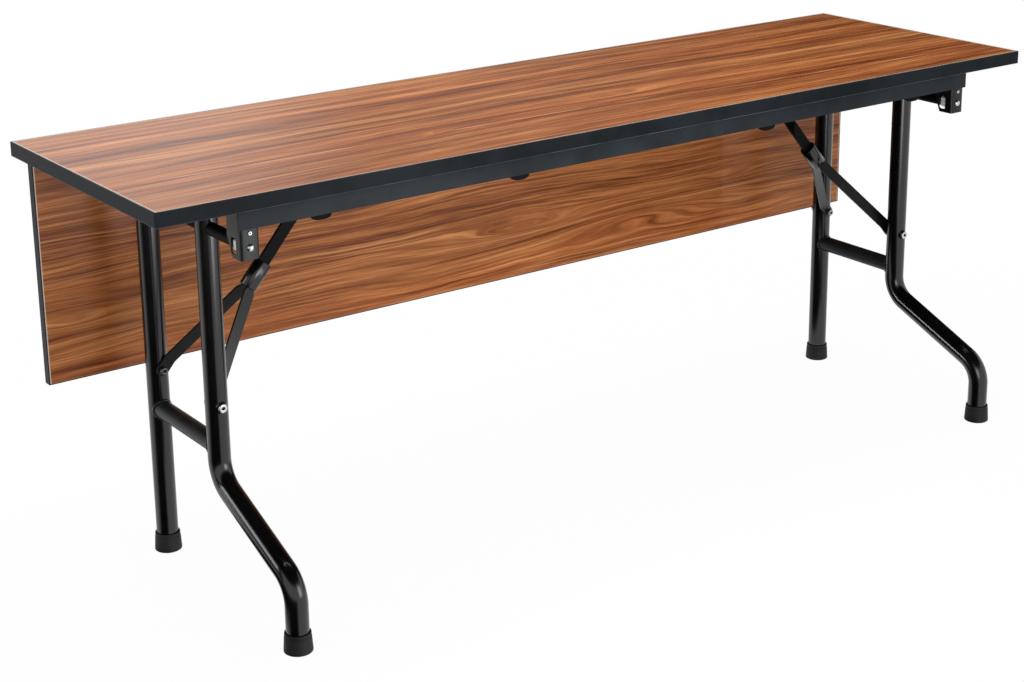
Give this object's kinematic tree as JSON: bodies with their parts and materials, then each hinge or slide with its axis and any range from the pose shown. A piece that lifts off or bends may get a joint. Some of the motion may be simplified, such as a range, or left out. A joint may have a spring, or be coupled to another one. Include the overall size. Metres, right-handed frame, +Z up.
{
  "type": "folding banquet table",
  "caption": "Long folding banquet table with a laminate top, hanging front panel and tubular dog-leg frames that fold inward on lock braces.",
  "frame": {"origin": "on the floor, under the middle of the bounding box of the standing table", "axes": "+X along the table to the right, +Y towards the hanging panel, +Z up"},
  "size_m": [1.93, 0.6658, 0.74],
  "materials": {
    "walnut_laminate": "satin walnut laminate",
    "core_board": "raw particle board",
    "backer": "matte backing laminate",
    "black_edge": "satin black edge band",
    "charcoal_steel": "satin charcoal paint",
    "black_powder_coat": "gloss black powder coat",
    "black_rubber": "matte black",
    "zinc_steel": "bright zinc",
    "dark_steel": "black oxide"
  },
  "bodies": {
    "top": {"top_core": "core_board", "top_laminate": "walnut_laminate", "top_backer": "backer", "front_edge_band": "black_edge", "rear_edge_band": "black_edge", "left_edge_band": "black_edge", "right_edge_band": "black_edge", "front_rail": "charcoal_steel", "rear_rail": "charcoal_steel", "panel_board": "walnut_laminate", "panel_edge_band": "black_edge", "left_outer_bumper": "black_rubber", "left_inner_bumper": "black_rubber", "left_front_bracket": "black_powder_coat", "left_rear_bracket": "black_powder_coat", "left_front_pivot_bolt": "zinc_steel", "left_rear_pivot_bolt": "zinc_steel", "left_bracket_screw": "zinc_steel", "left_brace_bracket": "black_powder_coat", "left_brace_pin": "dark_steel", "right_outer_bumper": "black_rubber", "right_inner_bumper": "black_rubber", "right_front_bracket": "black_powder_coat", "right_rear_bracket": "black_powder_coat", "right_front_pivot_bolt": "zinc_steel", "right_rear_pivot_bolt": "zinc_steel", "right_bracket_screw": "zinc_steel", "right_brace_bracket": "black_powder_coat", "right_brace_pin": "dark_steel"},
    "left_leg": {"left_pivot_tube": "black_powder_coat", "left_rear_tube": "black_powder_coat", "left_front_tube": "black_powder_coat", "left_crossbar": "black_powder_coat", "left_rear_ferrule": "black_rubber", "left_front_ferrule": "black_rubber", "left_rear_brace_bolt": "zinc_steel", "left_front_brace_bolt": "zinc_steel"},
    "left_upper_brace": {"left_upper_bar": "black_powder_coat"},
    "left_lower_brace": {"left_front_lower_bar": "black_powder_coat", "left_rear_lower_bar": "black_powder_coat", "left_elbow_rivet": "dark_steel", "left_front_brace_nut": "dark_steel", "left_rear_brace_nut": "dark_steel"},
    "left_sleeve": {"left_lock_sleeve": "black_powder_coat"},
    "right_leg": {"right_pivot_tube": "black_powder_coat", "right_rear_tube": "black_powder_coat", "right_front_tube": "black_powder_coat", "right_crossbar": "black_powder_coat", "right_rear_ferrule": "black_rubber", "right_front_ferrule": "black_rubber", "right_rear_brace_bolt": "zinc_steel", "right_front_brace_bolt": "zinc_steel"},
    "right_upper_brace": {"right_upper_bar": "black_powder_coat"},
    "right_lower_brace": {"right_front_lower_bar": "black_powder_coat", "right_rear_lower_bar": "black_powder_coat", "right_elbow_rivet": "dark_steel", "right_front_brace_nut": "dark_steel", "right_rear_brace_nut": "dark_steel"},
    "right_sleeve": {"right_lock_sleeve": "black_powder_coat"}
  },
  "joints": [
    {"name": "left_leg_fold", "type": "hinge", "parent": "top", "child": "left_leg", "pos_m": [-0.802, 0.04543, 0.652], "axis": [0, -1, 0], "range_deg": [0, 90]},
    {"name": "left_brace_swing", "type": "hinge", "parent": "top", "child": "left_upper_brace", "pos_m": [-0.511, 0.04543, 0.69], "axis": [0, 1, 0], "range_deg": [0, 42.53]},
    {"name": "left_elbow", "type": "hinge", "parent": "left_upper_brace", "child": "left_lower_brace", "pos_m": [-0.65184, 0.04543, 0.52302], "axis": [0, -1, 0], "range_deg": [0, 170.18]},
    {"name": "left_sleeve_slide", "type": "slide", "parent": "left_upper_brace", "child": "left_sleeve", "axis": [0.6447, 0, 0.7644], "range_m": [0, 0.171]},
    {"name": "right_leg_fold", "type": "hinge", "parent": "top", "child": "right_leg", "pos_m": [0.802, 0.04543, 0.652], "axis": [0, 1, 0], "range_deg": [0, 90]},
    {"name": "right_brace_swing", "type": "hinge", "parent": "top", "child": "right_upper_brace", "pos_m": [0.511, 0.04543, 0.69], "axis": [0, -1, 0], "range_deg": [0, 42.53]},
    {"name": "right_elbow", "type": "hinge", "parent": "right_upper_brace", "child": "right_lower_brace", "pos_m": [0.65184, 0.04543, 0.52302], "axis": [0, 1, 0], "range_deg": [0, 170.18]},
    {"name": "right_sleeve_slide", "type": "slide", "parent": "right_upper_brace", "child": "right_sleeve", "axis": [-0.6447, 0, 0.7644], "range_m": [0, 0.171]}
  ],
  "couplings": [
    {"joint": "left_brace_swing", "follows": "left_leg_fold", "ratio": 0.47261},
    {"joint": "left_elbow", "follows": "left_leg_fold", "ratio": 1.8909},
    {"joint": "left_sleeve_slide", "follows": "left_leg_fold", "m_per_rad": 0.1088},
    {"joint": "right_brace_swing", "follows": "right_leg_fold", "ratio": 0.47261},
    {"joint": "right_elbow", "follows": "right_leg_fold", "ratio": 1.8909},
    {"joint": "right_sleeve_slide", "follows": "right_leg_fold", "m_per_rad": 0.1088}
  ]
}
